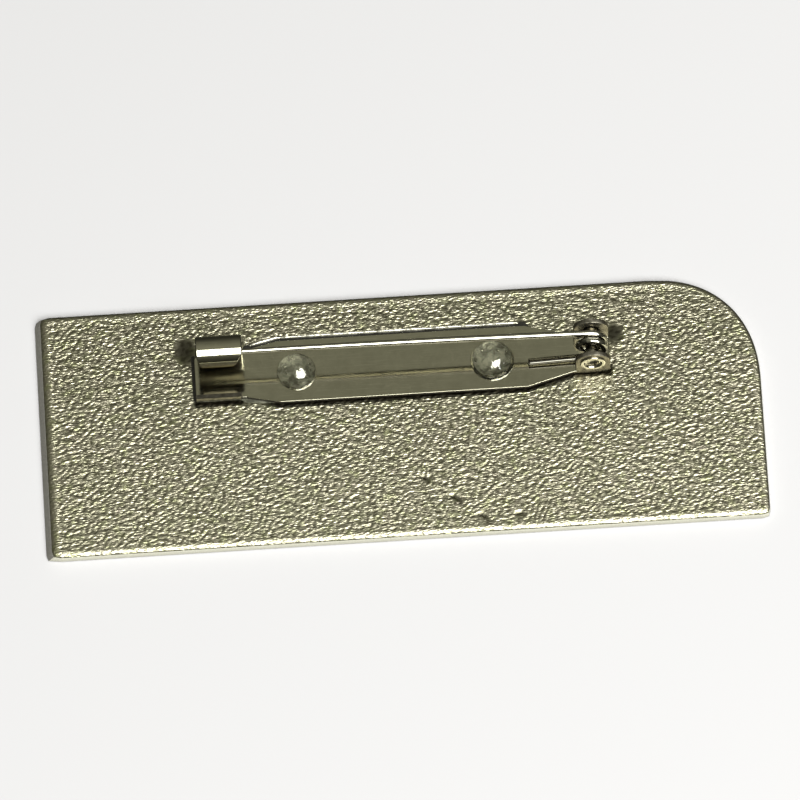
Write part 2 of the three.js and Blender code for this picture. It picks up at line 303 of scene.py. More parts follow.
def grain_heights(columns, rows):
    """The leather-like grain: narrow creases between long low bumps that swing in direction."""
    rng = np.random.default_rng(41)
    shape = (rows, columns)
    fans = [band_noise(rng, shape, 0.46 * MM, 0.26, math.radians(a), 2.1) for a in (20, 42, 66)]
    chooser = [band_noise(rng, shape, 5.0 * MM, 0.5, 0.0, 1.0) for _ in fans]
    weights = np.exp(1.4 * np.stack(chooser) + np.array([0.5, 0.8, 0.0])[:, None, None])
    weights /= np.sqrt((weights ** 2).sum(axis=0))
    heights = (np.stack(fans) * weights).sum(axis=0)
    broad = band_noise(rng, shape, 0.95 * MM, 0.35, math.radians(35), 1.4)
    return 1.25 * np.tanh(0.6 * heights + 0.2 * broad)


def right_end_at(y, inset):
    """Where the back's right end lies at a height across the plate, round the big corner."""
    right = PLATE_HIGH.x - inset
    far = PLATE_HIGH.y - inset
    rise = np.clip((y - (far - CORNER_ACROSS)) / CORNER_ACROSS, 0.0, 1.0)
    reach = (1.0 - rise ** CORNER_FULLNESS) ** (1.0 / CORNER_FULLNESS)
    return right - CORNER_ALONG + CORNER_ALONG * reach


# Dents in the back, in millimetres: x, y, length, width, depth, turn in degrees
DENTS = [
    (2.1, -7.45, 1.15, 0.6, 0.12, -34),
    (5.2, -9.9, 1.3, 0.65, 0.15, -38),
    (8.0, -12.2, 1.2, 0.62, 0.13, -35),
    (11.8, -12.15, 0.75, 0.62, 0.13, 10),
]
# Painted shadows beside the catch and the hinge, where the grain is also smoothed, in millimetres: x,
# y, reach along, reach across
SHADOW_PATCHES = [
    (-22.3, 9.0, 1.25, 1.75),
    (22.9, 8.1, 1.0, 1.2),
]


def dent_fields(x, y):
    """How deep the back is pressed in, how far its grain is rubbed flat, and the pits alone."""
    press = np.zeros_like(x)
    pits = np.zeros_like(x)
    flat = np.zeros_like(x)
    for dent_x, dent_y, length, width, depth, turn in DENTS:
        along, across = turned_axes(x / MM - dent_x, y / MM - dent_y, math.radians(turn))
        bowed = across + 0.25 * (along / length) ** 2 * length
        shape = np.exp(-((along / (0.62 * length)) ** 4) - (bowed / (0.42 * width)) ** 2)
        press += depth * MM * shape
        pits = np.maximum(pits, shape)
        rubbed = np.exp(-((along / (0.8 * length)) ** 2) - ((across + 0.7) / 0.9) ** 2)
        flat = np.maximum(flat, np.maximum(0.75 * rubbed, shape))
    # the grain is smoothed under the painted shadow patches as well
    flat = np.maximum(flat, shadow_patch_field(x, y))
    return press, flat, pits


def shadow_patch_field(x, y):
    """Where the painted shadow patches lie and the grain is smoothed, from 0 to 1."""
    field = np.zeros_like(x)
    for smear_x, smear_y, reach_x, reach_y in SHADOW_PATCHES:
        away = ((x / MM - smear_x) / reach_x) ** 2 + ((y / MM - smear_y) / reach_y) ** 2
        field = np.maximum(field, np.exp(-(away ** 2)))
    return field


def painted_pin_shade(x, y):
    """How dark the painted contact shadow lies along the near side of the pin, with the painted
    shadow patches beside the catch and the hinge.
    """
    edge = BAR_Y - np.interp(
        x,
        [FOOT_LEFT, FOOT_RIGHT, NECK_LEFT, BAR_LEFT, BAR_RIGHT, NECK_RIGHT, LUG_RIGHT],
        [FOOT_NEAR, FOOT_NEAR, NECK_LEFT_HALF, BAR_HALF, BAR_HALF, LUG_HALF_SPAN, LUG_HALF_SPAN],
    )
    gap = edge - y
    past_ends = np.maximum(FOOT_LEFT - x, x - LUG_RIGHT)
    beside = np.clip(1.0 - (gap - 0.08 * MM) / (0.36 * MM), 0.0, 1.0) * (gap > -MM)
    along_pin = beside * np.clip(1.0 - past_ends / (0.3 * MM), 0.0, 1.0)
    return np.maximum(along_pin, 0.72 * shadow_patch_field(x, y))


def grain_at(x):
    """The grain over the back's grid, in real places, so that the corner doesn't squeeze it."""
    rows, columns = x.shape
    wide = grain_heights(columns, rows)
    cell_x = np.clip((x - PLATE_LOW.x) / (PLATE_HIGH.x - PLATE_LOW.x) * (columns - 1), 0, columns - 1)
    low_column = np.floor(cell_x).astype(int)
    high_column = np.minimum(low_column + 1, columns - 1)
    part = cell_x - low_column
    row = np.arange(rows)[:, None]
    return wide[row, low_column] * (1 - part) + wide[row, high_column] * part


def rim_levels():
    """How far out and how high each ring lies, from the back's rim down to the front."""
    levels = []
    roll_steps = 5
    for i in range(1, roll_steps + 1):
        angle = math.pi / 2 * i / roll_steps
        drop = EDGE_DROP * (1 - math.cos(angle))
        levels.append((EDGE_REACH * math.sin(angle), PLATE_HIGH.z - drop))
    return levels + [
        (EDGE_REACH, PLATE_LOW.z + FRONT_ROUND),
        (EDGE_REACH - 0.3 * FRONT_ROUND, PLATE_LOW.z + 0.3 * FRONT_ROUND),
        (EDGE_REACH - FRONT_ROUND, PLATE_LOW.z),
    ]


def make_plate():
    """The plate: a displaced grid on the back, rolled edges, walls and a plain front."""
    columns = int((PLATE_HIGH.x - PLATE_LOW.x) / GRAIN_CELL)
    rows = int((PLATE_HIGH.y - PLATE_LOW.y) / GRAIN_CELL)
    near = PLATE_LOW.y + EDGE_REACH
    far = PLATE_HIGH.y - EDGE_REACH
    line_y = near + (far - near) * np.linspace(0.0, 1.0, rows)
    left = PLATE_LOW.x + END_SLANT + EDGE_REACH
    right = right_end_at(line_y, EDGE_REACH)
    x = left + (right[:, None] - left) * np.linspace(0.0, 1.0, columns)[None, :]
    y = np.repeat(line_y[:, None], columns, axis=1)
    grain = grain_at(x)
    # flat margins along the edges
    margin = np.minimum.reduce([
        x - left, right[:, None] - x, y - near, FAR_MARGIN_SHARE * (far - y),
    ])
    fade = np.clip(margin / (0.2 * MM), 0.0, 1.0)
    fade = fade * fade * (3 - 2 * fade)
    press, flat, pits = dent_fields(x, y)
    z = PLATE_HIGH.z + GRAIN_DEPTH * (grain * (1 - 0.85 * flat) - 0.75) * fade - press
    verts = np.stack([x, y, z], axis=-1).reshape(-1, 3)
    index = np.arange(rows * columns).reshape(rows, columns)
    quads = np.stack([
        index[:-1, :-1], index[:-1, 1:], index[1:, 1:], index[1:, :-1],
    ], axis=-1).reshape(-1, 4)
    # the rim, anticlockwise from the near left corner
    rim = np.concatenate([
        index[0, :-1], index[:-1, -1], index[-1, :0:-1], index[:0:-1, 0],
    ])
    rim_points = verts[rim][:, :2]
    run = np.roll(rim_points, -1, axis=0) - np.roll(rim_points, 1, axis=0)
    outwards = np.stack([run[:, 1], -run[:, 0]], axis=-1)
    outwards /= np.linalg.norm(outwards, axis=1)[:, None]
    on_left_end = np.isin(rim, index[:, 0]).astype(float)
    thickness = PLATE_HIGH.z - PLATE_LOW.z
    rings = [rim]
    extra = []
    total = rows * columns
    for reach, level_z in rim_levels():
        points = np.zeros((len(rim), 3))
        points[:, :2] = rim_points + outwards * reach
        down = (PLATE_HIGH.z - level_z) / (thickness - FRONT_ROUND)
        points[:, 0] -= on_left_end * END_SLANT * min(1.0, down)
        points[:, 2] = level_z
        extra.append(points)
        rings.append(np.arange(total, total + len(rim)))
        total += len(rim)
    faces = [tuple(q) for q in quads.tolist()]
    for upper, lower in zip(rings[:-1], rings[1:]):
        for i in range(len(rim)):
            j = (i + 1) % len(rim)
            faces.append((int(upper[i]), int(lower[i]), int(lower[j]), int(upper[j])))
    faces.append(tuple(int(v) for v in rings[-1][::-1]))
    plate = new_object("grained_plate", np.concatenate([verts] + extra), faces)
    # the slanted left end is sawn and left dull, the other walls are satin and painted pale, a
    # painted reflection of the pale floor
    finish(
        plate, 50.0, back_metal(), front_metal(),
        streaked_metal("end_metal", 6.0, 0.06, (0.24, 0.235, 0.22), (0.38, 0.37, 0.34),
                       (0.38, 0.55), (0.012, 0.5), Metallic=0.2),
        streaked_metal("pale_wall_painted_reflection", 10.0, 0.25, (0.66, 0.65, 0.55), (0.84, 0.83, 0.72),
                       (0.42, 0.6), (0.01, 0.4), Metallic=0.15),
        weighted=False,
    )
    for name, field in (
        # crease_shade: painted shade, darker in the grain's low creases
        ("crease_shade", np.clip(0.5 - 0.8 * grain, 0.0, 1.0) * fade),
        # painted shade along the pin and in the shadow patches, and darker in the dents' pits
        ("shade_and_pits", np.maximum(painted_pin_shade(x, y), 0.8 * pits ** 2)),
    ):
        values = np.zeros(total)
        values[: rows * columns] = field.ravel()
        plate.data.attributes.new(name, "FLOAT", "POINT").data.foreach_set("value", values)
    front, left_end, wall = 1, 2, 3
    for face in plate.data.polygons:
        if face.center.z < PLATE_LOW.z + 0.02 * MM:
            face.material_index = front
        elif face.normal.x < -0.6:
            face.material_index = left_end
        elif abs(face.normal.z) < 0.3:
            face.material_index = wall
    return plate


# The pin's sheet

def bar_blank():
    """The flat bar with its two holes and rounded edges."""
    far_side = [
        (FOOT_LEFT + 1.5 * SHEET, NECK_LEFT_HALF),
        (NECK_LEFT, NECK_LEFT_HALF),
        (BAR_LEFT, BAR_HALF),
        (BAR_RIGHT, BAR_HALF),
        (NECK_RIGHT, LUG_HALF_SPAN),
        (LUG_RIGHT - 1.5 * SHEET, LUG_HALF_SPAN),
    ]
    outline = [(x, -y) for x, y in far_side] + far_side[::-1]
    top_round = 0.035 * MM
    low_round = 0.08 * MM
    levels = [
        (BAR_BOTTOM, low_round),
        (BAR_BOTTOM + 0.3 * low_round, 0.3 * low_round),
        (BAR_BOTTOM + low_round, 0.0),
    ]
    levels += [
        (BAR_TOP - top_round * (1 - math.sin(a)), top_round * (1 - math.cos(a)))
        for a in np.linspace(0.0, math.pi / 2, 8)
    ]
    points = rounded(outline, 0.35 * MM)
    rings = [
        [Vector((x, BAR_Y + y, z)) for x, y in inset_outline(points, inset)]
        for z, inset in levels
    ]
    blank = loft("bar_blank", rings)
    flare = 0.12 * MM
    drills = []
    for low, high in (LEFT_DOME, RIGHT_DOME):
        profile = [(0, 0), (HOLE_RADIUS, 0), (HOLE_RADIUS, BAR_TOP - flare)]
        profile += [
            (HOLE_RADIUS + flare * (1 - math.cos(a)), BAR_TOP - flare * (1 - math.sin(a)))
            for a in np.linspace(0.3, math.pi / 2, 4)
        ]
        profile += [(HOLE_RADIUS + flare, BAR_TOP + MM), (0, BAR_TOP + MM)]
        drills.append(turned("drill", profile, 64, Vector(((low.x + high.x) / 2, BAR_Y, 0)),
                             (0, 0, 1)))
    return combine(blank, drills, "DIFFERENCE")


def corners(points):
    """Each corner of an outline, with the directions to it and on from it."""
    for i, point in enumerate(points):
        here = Vector(point)
        arriving = (here - Vector(points[i - 1])).normalized()
        leaving = (Vector(points[(i + 1) % len(points)]) - here).normalized()
        yield here, arriving, leaving


def inset_outline(points, distance):
    """An anticlockwise outline moved inwards, each corner along its own bisector."""
    result = []
    for here, arriving, leaving in corners(points):
        first = Vector((-arriving.y, arriving.x))
        second = Vector((-leaving.y, leaving.x))
        bisector = (first + second).normalized()
        moved = here + bisector * (distance / max(0.3, bisector.dot(first)))
        result.append((moved.x, moved.y))
    return result


def rounded(points, radius):
    """An outline with each corner cut by a short arc."""
    result = []
    for here, arriving, leaving in corners(points):
        turn = math.pi - (-arriving).angle(leaving)
        reach = radius * math.tan(turn / 2)
        start = here - arriving * reach
        end = here + leaving * reach
        for k in range(5):
            t = k / 4
            point = start * (1 - t) ** 2 + here * 2 * t * (1 - t) + end * t ** 2
            result.append((point.x, point.y))
    return result


def bent_sheet(name, stations, edge_round):
    """A sheet bent along a path in Y and Z. A station is (y, z, low x, high x)."""
    half = SHEET / 2
    rings = []
    path = [station[:2] for station in stations]
    for i, (y, z, low_x, high_x) in enumerate(stations):
        run = heading(path, i)
        normal = Vector((-run.y, run.x))
        corner = min(edge_round, (high_x - low_x) / 2)
        section = []
        for centre_x, start in ((high_x - corner, 0), (low_x + corner, 90), (low_x + corner, 180),
                                (high_x - corner, 270)):
            side = 1 if start < 180 else -1
            section += arc(centre_x, side * (half - edge_round), edge_round,
                           math.radians(start), math.radians(start + 90), 4)
        rings.append([
            Vector((px, y + normal.x * pn, z + normal.y * pn)) for px, pn in section
        ])
    for end in (0, -1):
        ring = rings[end]
        middle = sum(ring, Vector()) / len(ring)
        rings[end] = [middle + (p - middle) * 0.985 for p in ring]
    return loft(name, rings)


def catch_strip():
    """Lip, foot, far wall and roll, as one strip."""
    half = SHEET / 2
    foot_mid = BAR_BOTTOM + half
    near_y = BAR_Y - FOOT_NEAR + half
    lip_bend = 0.42 * MM
    stations = []

    def add(points, shift=0.0):
        for py, pz in points:
            stations.append((py, pz, FOOT_LEFT + shift, FOOT_RIGHT + shift))

    lip_top = BAR_TOP + LIP_RISE
    add([(near_y, z) for z in (lip_top, lip_top - 0.06 * MM, foot_mid + lip_bend + 0.02 * MM)])
    add(arc(near_y + lip_bend, foot_mid + lip_bend, lip_bend, math.pi, 1.5 * math.pi, 6))
    bend = WALL_BEND - half
    wall_y = BAR_Y + FOOT_FAR - half
    bend_points = arc(wall_y - bend, foot_mid + bend, bend, 1.5 * math.pi, 2 * math.pi, 8)
    add([(bend_points[0][0] - 0.3 * MM, foot_mid)])
    for i, point in enumerate(bend_points):
        add([point], ROLL_OFFSET * i / (len(bend_points) - 1))
    add([(wall_y, foot_mid + bend + 0.5 * MM)], ROLL_OFFSET)
    trim_start = math.radians(132)
    roll = arc(ROLL_Y, ROLL_Z, ROLL_RADIUS - half, 0.0, ROLL_END, 40)
    for i, (py, pz) in enumerate(roll):
        angle = ROLL_END * i / (len(roll) - 1)
        ease = max(0.0, (angle - trim_start) / (ROLL_END - trim_start)) ** 0.9
        stations.append((
            py, pz,
            FOOT_LEFT + ROLL_OFFSET + TRIM_LEFT * ease, FOOT_RIGHT + ROLL_OFFSET - TRIM_RIGHT * ease,
        ))
    return bent_sheet("catch_solid", stations, 0.14 * MM)


def lug_strip():
    """The two lugs and the neck's floor between them, as one strip with round tops."""
    half = SHEET / 2
    bend = LUG_BEND - half
    mid = BAR_BOTTOM + half
    side_y = LUG_HALF_SPAN - half
    centre_x = (LUG_LEFT + LUG_RIGHT) / 2
    radius = LUG_LENGTH / 2

    def width_at(z):
        rise = max(0.0, min(1.0, (z - RIVET.z) / LUG_TOP))
        return max(radius * math.sqrt(max(0.0, 1.0 - rise * rise)), 0.16 * MM)

    climb = [
        RIVET.z + LUG_TOP * math.sin(math.pi / 2 * i / 18) for i in range(18, -1, -1)
    ]
    # the strip ends just under the top of its arc
    climb[0] = RIVET.z + LUG_TOP * 0.9995
    near = [(BAR_Y - side_y, z) for z in climb]
    corner = arc(BAR_Y - side_y + bend, mid + bend, bend, math.pi, 1.5 * math.pi, 6)
    far_corner = arc(BAR_Y + side_y - bend, mid + bend, bend, 1.5 * math.pi, 2 * math.pi, 6)
    far = [(BAR_Y + side_y, z) for z in reversed(climb)]
    stations = [
        (y, z, centre_x - width_at(z), centre_x + width_at(z))
        for y, z in near + corner + far_corner + far
    ]
    return bent_sheet("lug_solid", stations, 0.12 * MM)


def make_pin_sheet():
    """The bar, its catch and its lugs as one piece."""
    sheet = bar_blank()
    sheet.name = "pin_sheet"
    reach = 4 * MM
    drill = turned("drill", [
        (0, -reach), (LUG_HOLE_RADIUS, -reach), (LUG_HOLE_RADIUS, reach), (0, reach),
    ], 40, Vector((RIVET.x, BAR_Y, RIVET.z)), (0, 1, 0))
    lugs = combine(lug_strip(), [drill], "DIFFERENCE")
    combine(sheet, [catch_strip(), lugs], "UNION")
    turn_faces_out(sheet, WELD)
    finish(
        sheet, 40.0, pin_metal(),
        # near black: a painted shade along the cut walls and the gap under them
        streaked_metal("cut_edge_painted_shade", 8.0, 0.2, (0.012, 0.01, 0.008), (0.035, 0.03, 0.024),
                       (0.4, 0.6), (0.01, 0.5), Metallic=0.0, Specular_IOR_Level=0.15),
        # the darker inner_metal copy is painted shade in the catch's hollow and on the roll's lip end
        inner_metal("inner_metal", 0.42, 0.3), inner_metal("handled_metal", 0.95, 0.34),
    )
    for face in sheet.data.polygons:
        face.material_index = sheet_finish(face)
    return sheet


def sheet_finish(face):
    """Which of the sheet's finishes a face takes, by where it lies and which way it faces."""
    plated_finish, edge_shade, inner, handled = range(4)
    x, y, z = face.center
    normal = face.normal
    spoke = Vector((0.0, y - ROLL_Y, z - ROLL_Z))
    over_foot = x < FOOT_RIGHT + 0.5 * MM
    in_catch = over_foot and z > BAR_TOP + 0.02 * MM
    end_wall = abs(normal.x) > 0.8 and x < FOOT_RIGHT + MM
    outer_lip = over_foot and normal.y < -0.5 and y < BAR_Y - 2 * MM
    trimmed = in_catch and abs(normal.x) > 0.3 and spoke.y < 0
    # the trimmed roll edges and the foot of the lip's outside take the painted edge shade
    if trimmed or (outer_lip and z < BAR_BOTTOM + 0.3 * MM):
        return edge_shade
    risen = abs(normal.y) > 0.6 or z > BAR_TOP + 0.3 * MM
    if outer_lip or (x > LUG_LEFT - 0.3 * MM and risen):
        return handled
    # the roll's lip end takes the darker inner copy, a painted shade
    if in_catch and spoke.y < 0 and spoke.z < 0.42 * ROLL_RADIUS and not end_wall:
        return inner
    on_bar = NECK_LEFT - 0.6 * MM < x < LUG_LEFT and z < BAR_TOP - 0.04 * MM
    # the bar's walls take the painted edge shade
    if abs(normal.z) < 0.75 and (on_bar or end_wall):
        return edge_shade
    turned_in = spoke.dot(normal) < 0 and abs(normal.x) < 0.5
    # the catch's hollow side takes the darker inner copy, a painted shade
    if in_catch and turned_in and y > BAR_Y - 2 * MM:
        return inner
    return plated_finish


# The hinge rivet and the wire

def make_rivet():
    """The rivet with its flared and dished ends."""
    seat = LUG_HALF_SPAN
    end = seat + HEAD_THICKNESS
    edge = HEAD_THICKNESS / 2
    right_half = [(SHANK_RADIUS, 0.0), (SHANK_RADIUS, seat), (HEAD_RADIUS - 0.05 * MM, seat)]
    right_half += [
        (HEAD_RADIUS - edge + edge * math.cos(a), seat + edge + edge * math.sin(a))
        for a in np.linspace(-math.pi / 2 * 0.8, math.pi / 2, 8)
    ]
    right_half += [
        (DISH_RADIUS - 0.06 * MM * math.sin(a), end - 0.06 * MM * (1 - math.cos(a)))
        for a in np.linspace(0.0, math.pi / 2, 4)
    ]
    right_half += [
        (0.72 * DISH_RADIUS, end - 0.45 * DISH_DEPTH),
        (DISH_FLOOR + 0.08 * MM, end - 0.9 * DISH_DEPTH),
        (DISH_FLOOR - 0.05 * MM, end - DISH_DEPTH),
        (0.0, end - DISH_DEPTH),
    ]
    profile = [(r, -t) for r, t in reversed(right_half)] + right_half[1:]
    rivet = turned("rivet", profile, 48, Vector((RIVET.x, BAR_Y, RIVET.z)), (0, 1, 0))
    finish(rivet, 45.0, rivet_metal())
    return rivet


def wire_points():
    """The wire's middle line from the needle's point to the tail's end, with its radius."""
    hinge = Vector((RIVET.x, BAR_Y + COIL_SIDE, RIVET.z + COIL_RADIUS))
    needle_root = Vector((
        FOOT_LEFT + ROLL_OFFSET + STEM_TIP_INSET + NEEDLE_LENGTH,
        ROLL_Y - STEM_IN_ROLL_SIDE,
        ROLL_Z + STEM_IN_ROLL_RISE,
    ))
    points = []
    parts = 60
    for i in range(parts):
        share = i / parts
        point = needle_root.lerp(hinge, share)
        point.z += STEM_BOW * 4 * share * (1 - share)
        radius = WIRE_END_RADIUS + (WIRE_RADIUS - WIRE_END_RADIUS) * min(1.0, share * 1.6)
        points.append((point, radius))
    away = (points[0][0] - points[1][0]).normalized()
    needle = []
    for i in range(1, 15):
        share = i / 14
        radius = WIRE_END_RADIUS * (1 - share ** 1.7) + 0.03 * MM * share
        needle.append((points[0][0] + away * (NEEDLE_LENGTH * share), radius))
    points = needle[::-1] + points
    per_turn = 40
    coil_parts = int(COIL_TURNS * per_turn)
    for i in range(coil_parts + 1):
        turn = i / per_turn
        angle = 2 * math.pi * turn
        points.append((Vector((
            RIVET.x + COIL_RADIUS * math.sin(angle),
            BAR_Y + COIL_SIDE - COIL_PITCH * turn,
            RIVET.z + COIL_RADIUS * math.cos(angle),
        )), WIRE_RADIUS))
    start = points[-1][0]
    for i in range(1, TAIL_STEPS + 1):
        share = i / TAIL_STEPS
        points.append((Vector((
            start.x - TAIL_LENGTH * share,
            start.y - TAIL_DRIFT * share,
            start.z - TAIL_DROP * share,
        )), WIRE_RADIUS))
    return points


def make_wire():
    """The spring wire, drawn to a needle at one end and cut blunt at the other."""
    points = wire_points()
    sides = 24
    rings = []
    spoke = Vector((0, 1, 0))
    count = len(points)
    path = [middle for middle, radius in points]
    for i, (middle, radius) in enumerate(points):
        run = heading(path, i)
        spoke = (spoke - run * spoke.dot(run)).normalized()
        other = run.cross(spoke)
        ring = [
            middle + (spoke * math.cos(a) + other * math.sin(a)) * radius
            for a in np.linspace(0, 2 * math.pi, sides, endpoint=False)
        ]
        if i > count - TAIL_STEPS:
            pressed = min(1.0, (i - count + TAIL_STEPS) / 5)
            ceiling = middle.z + radius * (1 - 0.42 * pressed)
            for point in ring:
                point.z = min(point.z, ceiling)
        rings.append(ring)
    end_middle = points[-1][0]
    run = (end_middle - points[-2][0]).normalized()
    for push, share in ((0.04, 0.97), (0.07, 0.85)):
        rings.append([
            end_middle + run * push * MM + (p - end_middle) * share for p in rings[count - 1]
        ])
    wire = loft("spring_wire", rings)
    finish(wire, 50.0, wire_metal("wire_metal", 1.0), wire_metal("tail_shaded_metal", 0.32))
    # the tail takes the darker copy of the wire's finish: painted shade
    for face in wire.data.polygons:
        if face.center.y < BAR_Y - 0.2 * MM and face.center.x < RIVET.x - 0.6 * MM:
            face.material_index = 1
    return wire


# The adhesive

# Bubbles inside the domes, in millimetres: across, towards the far edge, height over the bar, radius
LEFT_BUBBLES = [
    (-1.15, 0.2, 0.75, 0.1),
    (-1.05, -0.45, 0.7, 0.14),
    (1.3, -0.15, 0.5, 0.1),
    (0.95, -0.85, 0.55, 0.17),
    (1.2, 0.45, 0.55, 0.13),
    (-0.35, 1.05, 0.7, 0.12),
]
RIGHT_BUBBLES = [
    (-0.9, 0.75, 0.75, 0.12),
    (-1.6, -0.25, 0.45, 0.1),
    (0.55, 0.55, 0.8, 0.15),
    (-0.3, -1.2, 0.6, 0.14),
    (1.35, 0.6, 0.45, 0.11),
]


def make_dome(name, box, seed, bubbles):
    """Adhesive risen through a hole: a plug, a thin toe and a round dome, with bubbles inside."""
    low, high = box
    centre = Vector(((low.x + high.x) / 2, (low.y + high.y) / 2, 0.0))
    radius = (high.x - low.x) / 2
    top = high.z
    toe = 0.12 * (top - BAR_TOP)
    rise = top - BAR_TOP - toe
    ball = (radius ** 2 + rise ** 2) / (2 * rise)
    open_angle = math.asin(min(1.0, radius / ball))
    profile = [(0.0, top)]
    for i in range(1, 19):
        angle = open_angle * i / 18
        profile.append((ball * math.sin(angle) * 0.985, top - ball * (1 - math.cos(angle))))
    overlap = 0.01 * MM
    plug_low = BAR_BOTTOM - 1.5 * overlap
    profile += [
        (radius * 0.995, BAR_TOP + 0.6 * toe),
        (radius, BAR_TOP + 0.25 * toe),
        (radius, BAR_TOP - overlap),
        (HOLE_RADIUS + overlap, BAR_TOP - overlap),
        (HOLE_RADIUS + overlap, plug_low),
        (0.0, plug_low),
    ]
    dome = turned(name, profile, 72, centre, (0, 0, 1))
    swell = np.random.default_rng(seed).uniform(-1, 1, 4)
    for vertex in dome.data.vertices:
        dx = vertex.co.x - centre.x
        dy = vertex.co.y - centre.y
        angle = math.atan2(dy, dx)
        wave = sum(s * math.cos((k + 1) * angle + k) / (k + 2) for k, s in enumerate(swell))
        height = (vertex.co.z - BAR_TOP) / (top - BAR_TOP)
        if height < -0.02:
            continue
        vertex.co.x += dx * 0.02 * wave * (1 - 0.5 * height)
        vertex.co.y += dy * 0.02 * wave * (1 - 0.5 * height)
    for bubble in bubbles:
        x, y, lift, size = (MM * value for value in bubble)
        add_bubble(dome, centre + Vector((x, y, BAR_TOP + lift)), size)
    finish(dome, 60.0, clear_adhesive(), weighted=False)
    return dome


def add_bubble(obj, middle, radius):
    """A small round hollow inside a solid: a ball whose faces point inwards."""
    work = bmesh.new()
    work.from_mesh(obj.data)
    made = bmesh.ops.create_icosphere(work, subdivisions=2, radius=radius,
                                      matrix=Matrix.Translation(middle))
    faces = {face for vertex in made["verts"] for face in vertex.link_faces}
    bmesh.ops.reverse_faces(work, faces=list(faces))
    work.to_mesh(obj.data)
    work.free()


def make_film():
    """The thin film under the pin, with the bead squeezed out along the far edge."""
    inset = 0.2 * MM
    squeeze = FILM_HIGH.y - BAR_Y - BAR_HALF
    pool = 0.45 * MM
    left = FILM_LOW.x
    outline = [
        (left, -FOOT_NEAR + inset),
        (FOOT_RIGHT - inset, -FOOT_NEAR + inset),
        (FOOT_RIGHT + FOOT_GAP, -NECK_LEFT_HALF - pool),
        (BAR_LEFT - SHOULDER_LEFT / 2, -(NECK_LEFT_HALF + BAR_HALF) / 2 - inset),
        (BAR_LEFT, -BAR_HALF + inset),
        (BAR_RIGHT, -BAR_HALF + inset),
        (NECK_RIGHT, -LUG_HALF_SPAN + inset),
        (LUG_RIGHT - inset, -LUG_HALF_SPAN + inset),
        (LUG_RIGHT - inset, LUG_HALF_SPAN - inset),
        (NECK_RIGHT, LUG_HALF_SPAN - inset),
        (BAR_RIGHT + 0.5 * MM, BAR_HALF + 0.12 * MM),
        (BAR_RIGHT, BAR_HALF + squeeze),
        (BAR_LEFT, BAR_HALF + squeeze),
        (NECK_LEFT, NECK_LEFT_HALF + squeeze),
        (FOOT_RIGHT, FOOT_FAR - inset),
        (left, FOOT_FAR - inset),
    ]
    thickness = FILM_HIGH.z - FILM_LOW.z
    points = rounded(outline, 0.25 * MM)
    film = loft("adhesive_sheet", [
        [Vector((x, BAR_Y + y, FILM_LOW.z + share * thickness)) for x, y in points]
        for share in (0.0, 0.97)
    ])
    # the bead lies on the film along the bar's far wall and the left shoulder
    clear = squeeze - 0.13 * MM
    bead_path = [
        (NECK_LEFT + 0.55 * MM, NECK_LEFT_HALF + clear + 0.1 * MM),
        (BAR_LEFT - 0.05 * MM, BAR_HALF + clear),
        (BAR_LEFT + 0.6 * MM, BAR_HALF + clear),
        (BAR_RIGHT - 0.6 * MM, BAR_HALF + clear),
    ]
    rng = np.random.default_rng(7)
    dense = []
    for (x0, y0), (x1, y1) in zip(bead_path[:-1], bead_path[1:]):
        steps = max(2, int(math.hypot(x1 - x0, y1 - y0) / (0.2 * MM)))
        dense += [(x0 + (x1 - x0) * k / steps, y0 + (y1 - y0) * k / steps) for k in range(steps)]
    dense.append(bead_path[-1])
    wobble = np.convolve(rng.standard_normal(len(dense) + 8), np.ones(5) / 5, "same")[4:-4]
    rings = []
    for i, (px, py) in enumerate(dense):
        x0, y0 = dense[max(i - 1, 0)]
        x1, y1 = dense[min(i + 1, len(dense) - 1)]
        across = Vector((y0 - y1, x1 - x0, 0.0)).normalized()
        taper = 0.3 + 0.7 * math.sqrt(min(1.0, i / 4, (len(dense) - 1 - i) / 4))
        # the bead is lumpy along the bar and even on the shoulder
        swing = 0.15 if px < BAR_LEFT else 1.0
        half_width = (0.19 + 0.07 * swing * float(wobble[i])) * MM * taper
        height = (0.29 + 0.12 * swing * float(wobble[i])) * MM * taper
        base = Vector((px, BAR_Y + py, FILM_LOW.z + 0.5 * thickness))
        ring = [
            base + across * half_width * math.cos(a) + Vector((0, 0, height * math.sin(a)))
            for a in np.linspace(0, math.pi, 9)
        ]
        sunk = Vector((0, 0, 0.04 * MM))
        rings.append(ring + [base + across * half_width * side - sunk for side in (-0.6, 0.6)])
    bead = loft("bead", rings)
    combine(film, [bead], "UNION")
    turn_faces_out(film, WELD)
    finish(film, 50.0, thin_adhesive(), bead_painted_highlight())
    for face in film.data.polygons:
        if face.center.z > FILM_HIGH.z + 0.01 * MM:
            face.material_index = 1
    return film


# Materials

def set_stops(node, stops):
    """Fills a colour ramp from (place, grey or colour) in rising order."""
    elements = node.color_ramp.elements
    while len(elements) < len(stops):
        elements.new(0.5)
    for i, (place, value) in enumerate(stops):
        colour = (value, value, value) if isinstance(value, (int, float)) else value
        elements[i].position = place
        elements[i].color = (*colour, 1.0)


def filled(tree, kind, inputs):
    """A new node, each of its inputs linked to a socket or set to a number, place or colour."""
    node = tree.nodes.new("ShaderNode" + kind)
    fill(tree, node, inputs)
    return node


def fill(tree, node, inputs):
    for name, value in inputs.items():
        socket = node.inputs[name.replace("_", " ") if isinstance(name, str) else name]
        if isinstance(value, bpy.types.NodeSocket):
            tree.links.new(value, socket)
        elif socket.type == "RGBA":
            socket.default_value = (*value, 1.0)
        else:
            socket.default_value = value


